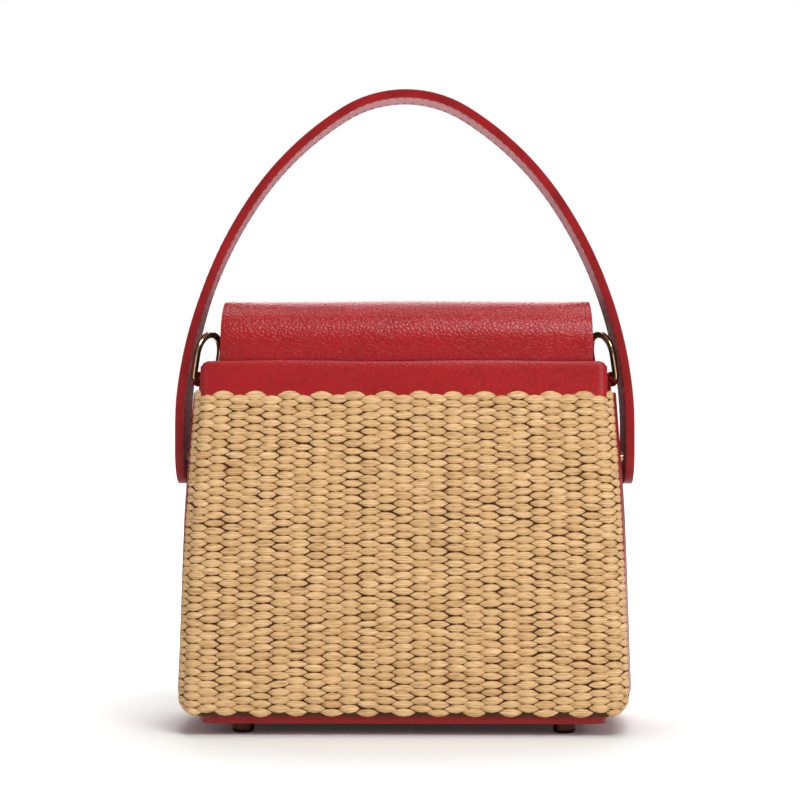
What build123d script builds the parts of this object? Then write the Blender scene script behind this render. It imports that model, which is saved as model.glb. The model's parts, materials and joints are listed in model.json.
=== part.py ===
"""Raffia top-handle handbag with a leather flap, in millimetres.

The bag stands on its feet at Z = 0, on the Z axis. The rear face looks along -Y and the front
face, where the flap closes, along +Y. +X is the right-hand side as seen from the rear.
"""

import os
from math import atan2, cos, degrees, radians, sin

from build123d import *

# Body: a box that tapers upward, with woven front and rear and leather sides
BODY_LOW = 9.0
BODY_MIDDLE = 78.0
BODY_TOP = 151.0
HALF_WIDTH_LOW = 100.7
HALF_WIDTH_MIDDLE = 98.6
HALF_WIDTH_TOP = 94.0
HALF_DEPTH_LOW = 51.8
HALF_DEPTH_TOP = 42.0
UPRIGHT_EDGE_RADIUS = 10.0
LOWER_CORNER_RADIUS = 10.0
RAFFIA_THICKNESS = 2.4
RAFFIA_WRAP = 12.0
TURN_UNDER_X = 88.0

# Weave: upright columns of floats, each column half a float out of step with the next
WEAVE_COLUMNS = 23
WEAVE_ROWS = 17
WEAVE_COLUMN_WIDTH = 7.05
WEAVE_HOLLOW = 0.15
WEAVE_CREST = 1.0
WEAVE_ROOT = 1.1
EDGE_COLUMN_ANGLES = (22.5, 67.5)

# Sides, bands and lining
GUSSET_THICKNESS = 2.0
GUSSET_BULGE = 3.0
GUSSET_TOP = 152.5
BAND_TOP = 166.4
BAND_INSET = 3.8
BAND_THICKNESS = 2.2
BAND_END_RADIUS = 4.0
BAND_RETURN = 7.0
LINING_THICKNESS = 1.2
LINING_SIDE_TOP = 152.0

# Base and feet
BASE_UNDERSIDE = 5.3
BASE_HALF_WIDTH = 91.0
BASE_MARGIN = 3.0
BASE_CORNER_RADIUS = 9.0
BASE_EDGE_RADIUS = 1.6
BOARD_THICKNESS = 2.0
BOARD_CLEARANCE = 0.4
FOOT_RADIUS = 5.0
FOOT_SPACING_X = 144.0
FOOT_SPACING_Y = 68.0
FOOT_PIN_RADIUS = 1.5
PIN_CLEARANCE = 0.1

# Flap: leather and lining, bent over the mouth of the bag
FLAP_HALF_WIDTH = 83.5
FLAP_TOP = 194.3
FLAP_TIP = 97.0
FLAP_LEATHER = 1.6
FLAP_LINING = 1.0
FLAP_BEND_RADIUS = 20.0
FLAP_CORNER_RADIUS = 14.0
FLAP_STANDOFF = 2.6
HINGE_CLEARANCE = 0.35

# Magnetic closure on the centre line
SNAP_HEIGHT = 109.0
SNAP_RADIUS = 7.5
SNAP_SOCKET_RISE = 1.2
SNAP_WELL_RADIUS = 4.6
SNAP_WELL_DEPTH = 0.9
SNAP_GAP = 0.3
SNAP_BOSS_RADIUS = 2.4
SNAP_BOSS_RISE = 0.9
SNAP_STEM_RADIUS = 2.5
SNAP_SINK = 0.8

# Handle: two layers of leather in an arch of three tangent arcs on each side. The crown's
# radius follows from the others, so that the legs hang beside the body
HANDLE_TOP = 291.0
HANDLE_CLEARANCE = 1.587
HANDLE_CROWN_ANGLE = 32.0
HANDLE_SHOULDER_RADIUS = 142.0
HANDLE_SHOULDER_ANGLE = 23.5
HANDLE_LEG_RADIUS = 189.0
HANDLE_TIP = 110.5
HANDLE_WIDTH = 30.0
HANDLE_OUTER_LAYER = 2.2
HANDLE_INNER_LAYER = 1.6
HANDLE_EDGE_RADIUS = 0.7
HANDLE_PIVOT = 122.5

# Rivets that the handle turns on
RIVET_RADIUS = 2.2
RIVET_HEAD_RADIUS = 4.6
RIVET_HEAD_RISE = 1.1
RIVET_CLEARANCE = 0.2
RIVET_WASHER = 1.0

# Rings in their leather loops at the ends of the mouth
RING_WIRE = 3.2
RING_WIDTH = 22.0
RING_HEIGHT = 24.0
RING_BAR_INSET = 0.993
RING_BAR_HEIGHT = 158.6
RING_TURN = 29.0
RING_LEAN = 10.0
LOOP_LEATHER = 1.6
LOOP_CLEARANCE = 0.25
LOOP_WIDTH = 11.0
LOOP_FOOT = 134.0


def half_depth(z):
    """Distance of the flat front and rear faces from the middle plane at height z."""
    slope = (HALF_DEPTH_LOW - HALF_DEPTH_TOP) / (BODY_TOP - BODY_LOW)
    return HALF_DEPTH_LOW - slope * (z - BODY_LOW)


FACE_TILT = degrees(atan2(HALF_DEPTH_LOW - HALF_DEPTH_TOP, BODY_TOP - BODY_LOW))
EDGE_COLUMN_TURN = radians(EDGE_COLUMN_ANGLES[0])
BAND_HALF_WIDTH = HALF_WIDTH_TOP - BAND_INSET
SPAN = 4 * HALF_WIDTH_LOW


def side_arc(inset, side):
    """The slightly convex side edge of the body seen from the rear."""
    return ThreePointArc(
        (side * (HALF_WIDTH_LOW - inset), BODY_LOW),
        (side * (HALF_WIDTH_MIDDLE - inset), BODY_MIDDLE),
        (side * (HALF_WIDTH_TOP - inset), BODY_TOP),
    )


def side_x(z):
    """Half width of the body at height z, on the arc of its side edge."""
    edge = side_arc(0, 1)
    if z >= BODY_TOP:
        end, slope = edge @ 1, edge % 1
        return end.X + slope.X / slope.Y * (z - BODY_TOP)
    low, high = 0.0, 1.0
    for _ in range(30):
        middle = (low + high) / 2
        low, high = (middle, high) if (edge @ middle).Y < z else (low, middle)
    return (edge @ low).X


def outline_block(inset):
    """The rear view of the body with square lower corners, run through its whole depth."""
    right, left = side_arc(inset, 1), side_arc(inset, -1)
    face = make_face([right, Line(right @ 1, left @ 1), left, Line(left @ 0, right @ 0)])
    return extrude(Plane.XZ * face, SPAN / 2, both=True)


def above(z):
    """All space above height z."""
    return Pos(0, 0, z) * Box(SPAN, SPAN, SPAN, align=(Align.CENTER, Align.CENTER, Align.MIN))


def outline_prism(inset):
    """The rear view of the body, set in and raised by inset, run through its whole depth."""
    prism = outline_block(inset) & above(BODY_LOW + max(inset, 0))
    corners = prism.edges().filter_by(Axis.Y).group_by(Axis.Z)[0]
    return fillet(corners, LOWER_CORNER_RADIUS - inset)


def depth_prism(inset, low, high):
    """The side view of the body between two heights, run through its whole width."""
    near, far = half_depth(low) - inset, half_depth(high) - inset
    face = make_face(Polyline((-near, low), (near, low), (far, high), (-far, high), close=True))
    return extrude(Plane.YZ * face, SPAN / 2, both=True)


def upright_edges(solid):
    return solid.edges().filter_by(lambda e: abs(e.tangent_at(0.5).Z) > 0.9)


def body_block(inset):
    """The body with its upright edges and lower corners rounded, set in by inset."""
    block = outline_block(inset) & depth_prism(inset, BODY_LOW, BODY_TOP)
    block = fillet(upright_edges(block), UPRIGHT_EDGE_RADIUS - inset)
    return block & outline_prism(inset)


def face_plane(z, side):
    """A plane on the front (side 1) or rear (side -1) face: x_dir along X, z_dir outward."""
    normal = (0, side * cos(radians(FACE_TILT)), sin(radians(FACE_TILT)))
    return Plane((0, side * half_depth(z), z), x_dir=(-side, 0, 0), z_dir=normal)


def weave_column(foot, head, outward, width, rows, phase):
    """One column of floats from foot to head: a toothed strip standing out of the wall."""
    along = (head - foot).normalized()
    outward = (outward - along * outward.dot(along)).normalized()
    length = (head - foot).length
    step = length / (2 * rows)
    teeth = [
        (WEAVE_CREST if (k + phase) % 2 else WEAVE_HOLLOW, k * step) for k in range(2 * rows + 1)
    ]
    profile = make_face(Polyline((-WEAVE_ROOT, 0), *teeth, (-WEAVE_ROOT, length), close=True))
    plane = Plane(foot, x_dir=outward, z_dir=outward.cross(along))
    return extrude(plane * profile, width / 2, both=True)


def weave():
    """All columns of the rear face and of its two rounded upright edges."""
    flat_low = 2 * (HALF_WIDTH_LOW - UPRIGHT_EDGE_RADIUS) / WEAVE_COLUMNS
    flat_top = 2 * (HALF_WIDTH_TOP - UPRIGHT_EDGE_RADIUS) / WEAVE_COLUMNS
    rear = face_plane(BODY_LOW, -1).z_dir
    columns = []
    for i in range(WEAVE_COLUMNS):
        place = i - (WEAVE_COLUMNS - 1) / 2
        foot = Vector(place * flat_low, -HALF_DEPTH_LOW, BODY_LOW)
        head = Vector(place * flat_top, -HALF_DEPTH_TOP, BODY_TOP)
        columns.append(weave_column(foot, head, rear, WEAVE_COLUMN_WIDTH, WEAVE_ROWS, i % 2))

    levels = (
        (HALF_WIDTH_LOW, BODY_LOW),
        (HALF_WIDTH_MIDDLE, BODY_MIDDLE),
        (HALF_WIDTH_TOP, BODY_TOP),
    )
    edge_width = 2 * UPRIGHT_EDGE_RADIUS * sin(EDGE_COLUMN_TURN) - (flat_top - WEAVE_COLUMN_WIDTH)
    for side in (-1, 1):
        for order, angle in enumerate(EDGE_COLUMN_ANGLES):
            outward = Vector(side * sin(radians(angle)), -cos(radians(angle)), 0)
            points = []
            for half_width, z in levels:
                centre = Vector(
                    side * (half_width - UPRIGHT_EDGE_RADIUS), UPRIGHT_EDGE_RADIUS - half_depth(z), z
                )
                points.append(centre + outward * UPRIGHT_EDGE_RADIUS * cos(EDGE_COLUMN_TURN))
            for foot, head in zip(points, points[1:]):
                rows = round(WEAVE_ROWS * (head.Z - foot.Z) / (BODY_TOP - BODY_LOW))
                columns.append(weave_column(foot, head, outward, edge_width, rows, (order + 1) % 2))
    return columns


def raffia_panels():
    """The woven rear and front walls, each wrapped round two upright edges."""
    core = depth_prism(RAFFIA_WRAP, BODY_LOW, BODY_TOP)
    under = depth_prism(RAFFIA_THICKNESS, BODY_LOW, BODY_TOP) & Box(2 * TURN_UNDER_X, SPAN, SPAN)
    wall = body_block(0) - body_block(RAFFIA_THICKNESS) - core - under
    rear_wall = wall.solids().sort_by(Axis.Y)[0]
    rear = (rear_wall + weave()) & outline_prism(-WEAVE_CREST)
    front = mirror(rear, Plane.XZ)

    # The weave is pressed flat under the socket of the closure, whose stem goes through the wall
    seat = face_plane(SNAP_HEIGHT, 1)
    front -= seat * Cylinder(SNAP_RADIUS + PIN_CLEARANCE, SNAP_RADIUS, align=(
        Align.CENTER, Align.CENTER, Align.MIN))
    front -= seat * Cylinder(SNAP_STEM_RADIUS + PIN_CLEARANCE, 4 * RAFFIA_THICKNESS)
    return rear, front


def bowed_block(inset):
    """The body's right-hand side, bowed outward between the two raffia edges."""
    def plan(z):
        half = half_depth(z) - RAFFIA_WRAP
        x = side_x(z) - inset
        arc = ThreePointArc((x, -half), (x + GUSSET_BULGE, 0), (x, half))
        back = Polyline(arc @ 1, (TURN_UNDER_X, half), (TURN_UNDER_X, -half), arc @ 0)
        return Plane((0, 0, z)) * make_face([arc, back])

    low = BODY_LOW + inset
    side = loft([plan(low + i * (GUSSET_TOP - low) / 4) for i in range(5)])
    foot_edge = side.faces().sort_by(Axis.Z)[0].edges().sort_by(Axis.X)[-1]
    return fillet(foot_edge, LOWER_CORNER_RADIUS - inset)


def gusset():
    """The right-hand leather side, turned under the lower corner to meet the base."""
    side = bowed_block(0) - bowed_block(GUSSET_THICKNESS)
    bore = Pos(0, 0, HANDLE_PIVOT) * Rot(0, 90, 0) * Cylinder(RIVET_RADIUS, SPAN)
    return side - bore


def band():
    """The leather band above the rear weave, its ends turned back along the sides."""
    def ring(inset):
        block = depth_prism(inset, BODY_TOP, BAND_TOP) & Box(
            2 * (BAND_HALF_WIDTH - inset), SPAN, SPAN * 2)
        return fillet(upright_edges(block), BAND_END_RADIUS - inset)

    strips = ring(0) - ring(BAND_THICKNESS) - depth_prism(BAND_RETURN, BODY_TOP, BAND_TOP)
    strips = fillet(strips.faces().filter_by(Axis.Z).sort_by(Axis.Z)[-2:].edges(), BAND_THICKNESS / 4)
    return strips.solids().sort_by(Axis.Y)[0]


def lining():
    """The fabric shell inside the walls, open at the top and dipped at both sides."""
    def block(inset):
        half_x = BAND_HALF_WIDTH - BAND_THICKNESS - (inset - RAFFIA_THICKNESS)
        mouth = depth_prism(inset, BODY_TOP, BAND_TOP) & Box(2 * half_x, SPAN, SPAN)
        return body_block(inset) + fillet(upright_edges(mouth), BAND_END_RADIUS - BAND_THICKNESS)

    shell = block(RAFFIA_THICKNESS) - block(RAFFIA_THICKNESS + LINING_THICKNESS)
    return shell - (above(LINING_SIDE_TOP) & Box(SPAN, 2 * (HALF_DEPTH_TOP - BAND_RETURN), SPAN))


def base_places():
    half_x, half_y = FOOT_SPACING_X / 2, FOOT_SPACING_Y / 2
    return [Location((x, y, 0)) for y in (-half_y, half_y) for x in (-half_x, half_x)]


def base():
    """The leather base under the weave, the board inside it, and the four feet."""
    depth = 2 * (HALF_DEPTH_LOW - BASE_MARGIN)
    thickness = BODY_LOW - BASE_UNDERSIDE
    panel = extrude(Plane((0, 0, BASE_UNDERSIDE)) * RectangleRounded(
        2 * BASE_HALF_WIDTH, depth, BASE_CORNER_RADIUS), thickness)
    panel = fillet(panel.faces().sort_by(Axis.Z)[0].edges(), BASE_EDGE_RADIUS)

    board_depth = 2 * (half_depth(BODY_LOW + BOARD_THICKNESS) - RAFFIA_THICKNESS - BOARD_CLEARANCE)
    board = extrude(Plane((0, 0, BODY_LOW)) * RectangleRounded(
        2 * (TURN_UNDER_X - BOARD_CLEARANCE), board_depth, BASE_EDGE_RADIUS), BOARD_THICKNESS)

    pin_hole = Pos(0, 0, BASE_UNDERSIDE) * Cylinder(
        FOOT_PIN_RADIUS + PIN_CLEARANCE, thickness, align=(Align.CENTER, Align.CENTER, Align.MIN))
    for place in base_places():
        panel -= place * pin_hole

    crown = FOOT_RADIUS * 0.35
    side = make_face([
        Line((0, 0), (FOOT_RADIUS - crown, 0)),
        RadiusArc((FOOT_RADIUS - crown, 0), (FOOT_RADIUS, crown), -crown),
        Polyline((FOOT_RADIUS, crown), (FOOT_RADIUS, BASE_UNDERSIDE), (FOOT_PIN_RADIUS, BASE_UNDERSIDE),
                 (FOOT_PIN_RADIUS, BODY_LOW), (0, BODY_LOW), (0, 0)),
    ])
    foot = revolve(Plane.XZ * side, Axis.Z)
    return panel, board, [place * foot for place in base_places()]


HINGE_RADIUS = (FLAP_LEATHER + FLAP_LINING) / 2
HINGE_Z = BAND_TOP + HINGE_RADIUS + HINGE_CLEARANCE
HINGE_Y = -(half_depth(BAND_TOP) - BAND_THICKNESS - HINGE_CLEARANCE - HINGE_RADIUS)


def flap_layer(outer, inner, hinge_end):
    """One layer of the flap between two depths below its outer surface."""
    def path(inset):
        rear = HINGE_Y - HINGE_RADIUS + inset
        top = FLAP_TOP - inset
        reach = FLAP_STANDOFF + FLAP_LEATHER + FLAP_LINING - inset
        corner = (half_depth(top) + reach, top)
        tip = (half_depth(FLAP_TIP) + reach, FLAP_TIP)
        return FilletPolyline((rear, hinge_end), (rear, top), corner, tip,
                              radius=FLAP_BEND_RADIUS - inset)

    a, b = path(outer), path(inner)
    profile = make_face([a, Line(a @ 1, b @ 1), b, Line(b @ 0, a @ 0)])
    layer = extrude(Plane.YZ * profile, FLAP_HALF_WIDTH, both=True)
    tips = layer.edges().filter_by(lambda e: abs(e.center().Z - FLAP_TIP) < 0.01 and e.length < 3)
    return fillet(tips, FLAP_CORNER_RADIUS)


def flap():
    leather = flap_layer(0, FLAP_LEATHER, HINGE_Z)
    lining_layer = flap_layer(FLAP_LEATHER, FLAP_LEATHER + FLAP_LINING, HINGE_Z + HINGE_RADIUS)

    # The leather is turned round its own sewn edge, which is where the flap hinges
    edge = Pos(0, HINGE_Y, HINGE_Z) * Rot(0, 90, 0) * Cylinder(HINGE_RADIUS, 2 * FLAP_HALF_WIDTH)
    leather = leather + (edge - lining_layer)
    return leather, lining_layer


def snap():
    """The socket on the front wall and the cap on the flap, facing each other."""
    wall = face_plane(SNAP_HEIGHT, 1)
    rise = (Align.CENTER, Align.CENTER, Align.MIN)
    drop = (Align.CENTER, Align.CENTER, Align.MAX)
    socket = Cylinder(SNAP_RADIUS, SNAP_SOCKET_RISE, align=rise)
    socket = chamfer(socket.faces().sort_by(Axis.Z)[-1].edges(), SNAP_GAP)
    socket -= Pos(0, 0, SNAP_SOCKET_RISE) * Cylinder(SNAP_WELL_RADIUS, SNAP_WELL_DEPTH, align=drop)
    socket += Cylinder(SNAP_STEM_RADIUS, RAFFIA_THICKNESS - PIN_CLEARANCE, align=drop)

    face = SNAP_SOCKET_RISE + SNAP_GAP
    flap_face = FLAP_STANDOFF * cos(radians(FACE_TILT))
    cap = Pos(0, 0, face) * Cylinder(SNAP_RADIUS, flap_face - face, align=rise)
    cap += Pos(0, 0, face) * Cylinder(SNAP_BOSS_RADIUS, SNAP_BOSS_RISE, align=drop)
    cap += Pos(0, 0, flap_face) * Cylinder(
        SNAP_STEM_RADIUS, FLAP_LINING + SNAP_SINK, align=rise)
    hole = Pos(0, 0, flap_face) * Cylinder(
        SNAP_STEM_RADIUS + PIN_CLEARANCE, FLAP_LINING + SNAP_SINK, align=rise)
    return wall * socket, wall * cap, wall * hole


SHOULDER_END = radians(HANDLE_CROWN_ANGLE + HANDLE_SHOULDER_ANGLE)
LEG_OUTSIDE = (side_x(HANDLE_PIVOT + RIVET_HEAD_RADIUS) + GUSSET_BULGE + HANDLE_CLEARANCE
               + HANDLE_OUTER_LAYER + HANDLE_INNER_LAYER)
SHOULDER_REACH = HANDLE_SHOULDER_RADIUS * (sin(SHOULDER_END) - sin(radians(HANDLE_CROWN_ANGLE)))
LEG_REACH = HANDLE_LEG_RADIUS * (1 - sin(SHOULDER_END))
HANDLE_CROWN_RADIUS = (LEG_OUTSIDE - SHOULDER_REACH - LEG_REACH) / sin(radians(HANDLE_CROWN_ANGLE))


def arch(inset):
    """Half of the handle's side view from its top to its right-hand tip, set in by inset."""
    crown = JernArc((0, HANDLE_TOP - inset), (1, 0), HANDLE_CROWN_RADIUS - inset, -HANDLE_CROWN_ANGLE)
    shoulder = JernArc(crown @ 1, crown % 1, HANDLE_SHOULDER_RADIUS - inset, -HANDLE_SHOULDER_ANGLE)
    leg = JernArc(shoulder @ 1, shoulder % 1, HANDLE_LEG_RADIUS - inset,
                  degrees(SHOULDER_END) - 90)
    end = Line(leg @ 1, ((leg @ 1).X, HANDLE_TIP))
    return [crown, shoulder, leg, end]


def handle_layer(outer, inner):
    """One leather layer of the handle, with rounded tips and a hole for each rivet."""
    a, b = arch(outer), arch(inner)
    lines = a + [Line(a[-1] @ 1, b[-1] @ 1)] + b + [Line(b[0] @ 0, a[0] @ 0)]
    half = extrude(Plane.XZ * make_face(lines), HANDLE_WIDTH / 2, both=True)
    tips = half.edges().filter_by(Axis.X).filter_by(lambda e: abs(e.center().Z - HANDLE_TIP) < 0.01)
    half = fillet(tips, HANDLE_WIDTH / 2 - HANDLE_EDGE_RADIUS)
    bore = Pos(0, 0, HANDLE_PIVOT) * Rot(0, 90, 0) * Cylinder(RIVET_RADIUS + RIVET_CLEARANCE, SPAN)
    layer = half + mirror(half, Plane.YZ)
    return (layer - bore).clean()


def handle():
    outer = handle_layer(0, HANDLE_OUTER_LAYER)
    inner = handle_layer(HANDLE_OUTER_LAYER, HANDLE_OUTER_LAYER + HANDLE_INNER_LAYER)
    return outer, inner


def rivet():
    """The right-hand rivet: a low domed head outside, and a washer behind the gusset."""
    seat_x = side_x(HANDLE_PIVOT + RIVET_HEAD_RADIUS) + GUSSET_BULGE
    gusset_inside = seat_x - GUSSET_THICKNESS - PIN_CLEARANCE
    head_seat = LEG_OUTSIDE + RIVET_CLEARANCE
    rise = (Align.CENTER, Align.CENTER, Align.MIN)
    washer = Pos(0, 0, gusset_inside - RIVET_WASHER) * Cylinder(RIVET_HEAD_RADIUS, RIVET_WASHER, align=rise)
    shaft = Pos(0, 0, gusset_inside) * Cylinder(RIVET_RADIUS, head_seat - gusset_inside, align=rise)
    head = Pos(0, 0, head_seat) * Cylinder(RIVET_HEAD_RADIUS, RIVET_HEAD_RISE, align=rise)
    head = fillet(head.faces().sort_by(Axis.Z)[-1].edges(), RIVET_HEAD_RISE * 0.8)
    return Pos(0, 0, HANDLE_PIVOT) * Rot(0, 90, 0) * (washer + shaft + head)


def ring_frame():
    """The right-hand ring's own plane: x along its bar, y up the ring, origin on the bar."""
    turn, lean = radians(RING_TURN), radians(RING_LEAN)
    along = Vector(-sin(turn), cos(turn), 0)
    inward = Vector(-cos(turn), -sin(turn), 0)
    up = inward * sin(lean) + Vector(0, 0, cos(lean))
    bar_x = side_x(RING_BAR_HEIGHT) - RING_BAR_INSET
    return Plane((bar_x, 0, RING_BAR_HEIGHT), x_dir=along, z_dir=along.cross(up))


def ring():
    """The right-hand metal ring: a straight bar closed by two legs and a half circle."""
    half = (RING_WIDTH - RING_WIRE) / 2
    rise = RING_HEIGHT - RING_WIRE - half
    corner = RING_WIRE * 0.7
    path = [
        Line((-half + corner, 0), (half - corner, 0)),
        RadiusArc((half - corner, 0), (half, corner), -corner),
        Line((half, corner), (half, rise)),
        RadiusArc((half, rise), (-half, rise), -half),
        Line((-half, rise), (-half, corner)),
        RadiusArc((-half, corner), (-half + corner, 0), -corner),
    ]
    frame = ring_frame()
    wire = Wire([frame * edge for edge in path])
    section = Plane(wire @ 0, z_dir=wire % 0) * Circle(RING_WIRE / 2)
    return sweep(section, path=wire)


def ring_loop():
    """The right-hand leather loop: wrapped round the ring's bar, then flat behind the gusset."""
    bar = ring_frame()
    bore = RING_WIRE / 2 + LOOP_CLEARANCE
    sleeve_axis = Plane(bar.origin, z_dir=bar.x_dir)
    ply = 2 * LOOP_LEATHER
    behind = GUSSET_BULGE - GUSSET_THICKNESS - ply / 2 - PIN_CLEARANCE
    ends = [Plane((side_x(z) + behind, 0, z)) for z in (LOOP_FOOT, RING_BAR_HEIGHT)]
    tail = loft([end * Rectangle(ply, LOOP_WIDTH) for end in ends])
    loop = sleeve_axis * Cylinder(bore + LOOP_LEATHER, LOOP_WIDTH) + tail
    return loop - sleeve_axis * Cylinder(bore, 2 * LOOP_WIDTH)


def build():
    rear, front = raffia_panels()
    panel, board, feet = base()
    leather, flap_inside = flap()
    socket, cap, cap_hole = snap()
    strap_outer, strap_inner = handle()
    right_gusset = gusset()
    rear_band = band()
    return {
        "rear_raffia_panel": rear,
        "front_raffia_panel": front,
        "rear_band": rear_band,
        "front_band": mirror(rear_band, Plane.XZ),
        "right_gusset": right_gusset,
        "left_gusset": mirror(right_gusset, Plane.YZ),
        "lining": lining(),
        "base_panel": panel,
        "base_board": board,
        "rear_left_foot": feet[0],
        "rear_right_foot": feet[1],
        "front_left_foot": feet[2],
        "front_right_foot": feet[3],
        "flap": leather - cap_hole,
        "flap_lining": flap_inside - cap_hole,
        "snap_socket": socket,
        "snap_cap": cap,
        "handle": strap_outer,
        "handle_lining": strap_inner,
        "right_rivet": rivet(),
        "left_rivet": mirror(rivet(), Plane.YZ),
        "right_ring_loop": ring_loop(),
        "left_ring_loop": mirror(ring_loop(), Plane.YZ),
        "right_ring": ring(),
        "left_ring": mirror(ring(), Plane.YZ),
    }


os.makedirs("parts", exist_ok=True)
for name, shape in build().items():
    shape.label = name
    export_step(shape, f"parts/{name}.step")
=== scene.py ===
"""A raffia handbag with red leather flap, sides and handle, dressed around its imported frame."""

import json
import math

import bpy
import numpy as np
from bpy.props import FloatProperty, FloatVectorProperty, IntProperty, PointerProperty
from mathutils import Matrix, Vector


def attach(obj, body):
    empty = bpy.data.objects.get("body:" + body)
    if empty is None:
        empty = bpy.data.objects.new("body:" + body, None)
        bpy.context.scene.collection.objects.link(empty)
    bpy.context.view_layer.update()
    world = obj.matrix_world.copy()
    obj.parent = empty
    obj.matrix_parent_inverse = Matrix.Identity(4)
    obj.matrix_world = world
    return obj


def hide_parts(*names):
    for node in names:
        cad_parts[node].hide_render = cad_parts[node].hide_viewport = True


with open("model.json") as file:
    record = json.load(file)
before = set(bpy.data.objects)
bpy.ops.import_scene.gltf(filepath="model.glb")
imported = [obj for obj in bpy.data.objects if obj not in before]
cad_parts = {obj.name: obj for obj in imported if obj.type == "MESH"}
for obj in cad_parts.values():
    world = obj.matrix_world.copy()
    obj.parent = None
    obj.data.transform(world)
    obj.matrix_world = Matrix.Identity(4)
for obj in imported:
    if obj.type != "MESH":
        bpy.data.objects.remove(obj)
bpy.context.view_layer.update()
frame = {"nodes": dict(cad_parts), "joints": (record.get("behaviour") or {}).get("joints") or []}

bl_info = {
    "name": "Raffia handbag",
    "version": (1, 0, 0),
    "blender": (4, 5, 0),
    "location": "View3D > Sidebar > Handbag",
    "description": "Weave, leather, strap and fittings of a small raffia handbag",
    "category": "Add Mesh",
}

MM = 0.001
GOLDEN_ANGLE = math.pi * (3 - math.sqrt(5))

# Every piece: the least angle of an edge that is rounded, and the greatest that is shaded smooth
ROUNDED_FROM, SMOOTH_UP_TO = math.radians(50), math.radians(60)

# Weave: how a float is shaped, by the exponent of its outline, its half thickness and the fall
# of its ends; what changes at the hem; and how much the floats differ from one another, as
# standard deviations
FLOAT_ROUNDNESS = 2.1
FLOAT_THICKNESS = 1.0 * MM
FLOAT_BOW = 0.75 * MM
HEM_LENGTHENED, HEM_WIDENED, HEM_LIFT = 1.06, 1.15, 0.35 * MM
HEM_ROW, LOWEST_FLOAT, HIGHEST_FLOAT = 0.7, 0.15, 0.35
BACKING_SUNK = 0.35 * MM
BACKING_THICKNESS = 1.7 * MM
CORNER_TUCK = 0.4 * MM
CORNER_RISE, RIM_RISE = 0.5, 0.3
COLUMN_SWAY = 0.025
SPREAD_HEIGHT, SPREAD_COLUMN, SPREAD_SLANT = 0.11 * MM, 0.02, 0.035
SPREAD_LENGTH, SPREAD_WIDTH, SPREAD_LIFT = 0.035, 0.06, 0.1
# Float tone: TONE and TONE_SPREAD give each float a random tone; its ends and its underside are darkened
# further as painted shade
TONE, TONE_SPREAD = 0.86, 0.1
END_PAINTED_SHADE, UNDER_PAINTED_SHADE = 0.5, 0.3

# Sides and bands
SIDE_TUCK = 1.8 * MM
SIDE_TURN = 0.13
LEATHER_DENT = 0.25 * MM
BAND_FOLD, BAND_TURNED_BACK = 4.0 * MM, 7.0 * MM
BAND_OVERLAP = 1.6 * MM
BAND_END_RUN, BAND_END_DROP = 6 * MM, 2.2 * MM
BAND_LIP, BAND_LIP_FROM = 0.5 * MM, 0.86

# Flap
FLAP_FOOT_DROP = 1.6 * MM
FLAP_WAIST, FLAP_WAIST_PLACE, FLAP_WAIST_SPREAD = 1.7 * MM, 48 * MM, 20 * MM
FLAP_WAVE, FLAP_CURL = 0.35 * MM, 0.5 * MM
FLAP_TIP_FROM = 0.9
FLAP_SEAM_START, FLAP_SEAM_RUN, FLAP_TIP_SEAM = 0.01, 0.93, 0.92
FLAP_THREAD_DEPTH = 0.05 * MM

# Handle: the strap's turn about the vertical, in degrees, is its toe beside the bag, mirrored on
# the two legs, and becomes its yaw over the run above the height where it is free
STRAP_FREE_HEIGHT, STRAP_FREE_RUN = 0.15, 0.05
STRAP_TOE, STRAP_YAW = 2.2, 1.6
STRAP_CROWN_FROM = 0.25
STRAP_CROWN = 0.35 * MM
STRAP_END_SHARE = 0.06
STRAP_SEAM_START, STRAP_SEAM_RUN = 0.035, 0.93
STRAP_THREAD_DEPTH = 0.08 * MM

# Stitch: half sizes of one stitch, its length as a share of the pitch
STITCH_HALF_LENGTH, STITCH_HALF_WIDTH, STITCH_HALF_HEIGHT = 0.34, 0.3 * MM, 0.26 * MM

# Stage: each lamp's name, place, width and power, in metres and watts
LAMP_AIM = (0, 0, 0.13)
LAMPS = (
    ("key", (0.35, -1.05, 1.3), 0.7, 14.0),
    ("side", (1.4, -1.3, 0.7), 0.9, 11.0),
    ("fill", (-1.3, -1.4, 0.6), 1.2, 4.0),
    ("over", (0.0, 0.3, 1.5), 0.9, 9.0),
    ("behind", (0.0, 1.6, 1.0), 1.2, 18.0),
)
CAMERA_PLACE, CAMERA_AIM = (0.021, -1.25, 0.149), (-0.0023, 0.0, 0.149)
CAMERA_LENS, CAMERA_SENSOR = 122.0, 36.0
FLOOR_SIZE = 60
FLOOR_DARK_WITHIN, FLOOR_WHITE_BEYOND, FLOOR_LEAST_GLOW = 0.09, 0.45, 0.02
SKY_STRENGTH = 0.24


def size(name, text, millimetres):
    """A length that the user may change, given in millimetres and kept in metres."""
    return FloatProperty(name=name, description=text, default=millimetres * MM, subtype="DISTANCE",
                         unit="LENGTH", precision=5)


def colour(name, text, rgb):
    """A display colour that the user may change, given as three numbers from 0 to 255."""
    return FloatVectorProperty(name=name, description=text, default=[c / 255 for c in rgb], size=3,
                               min=0, max=1, subtype="COLOR_GAMMA")


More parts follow.
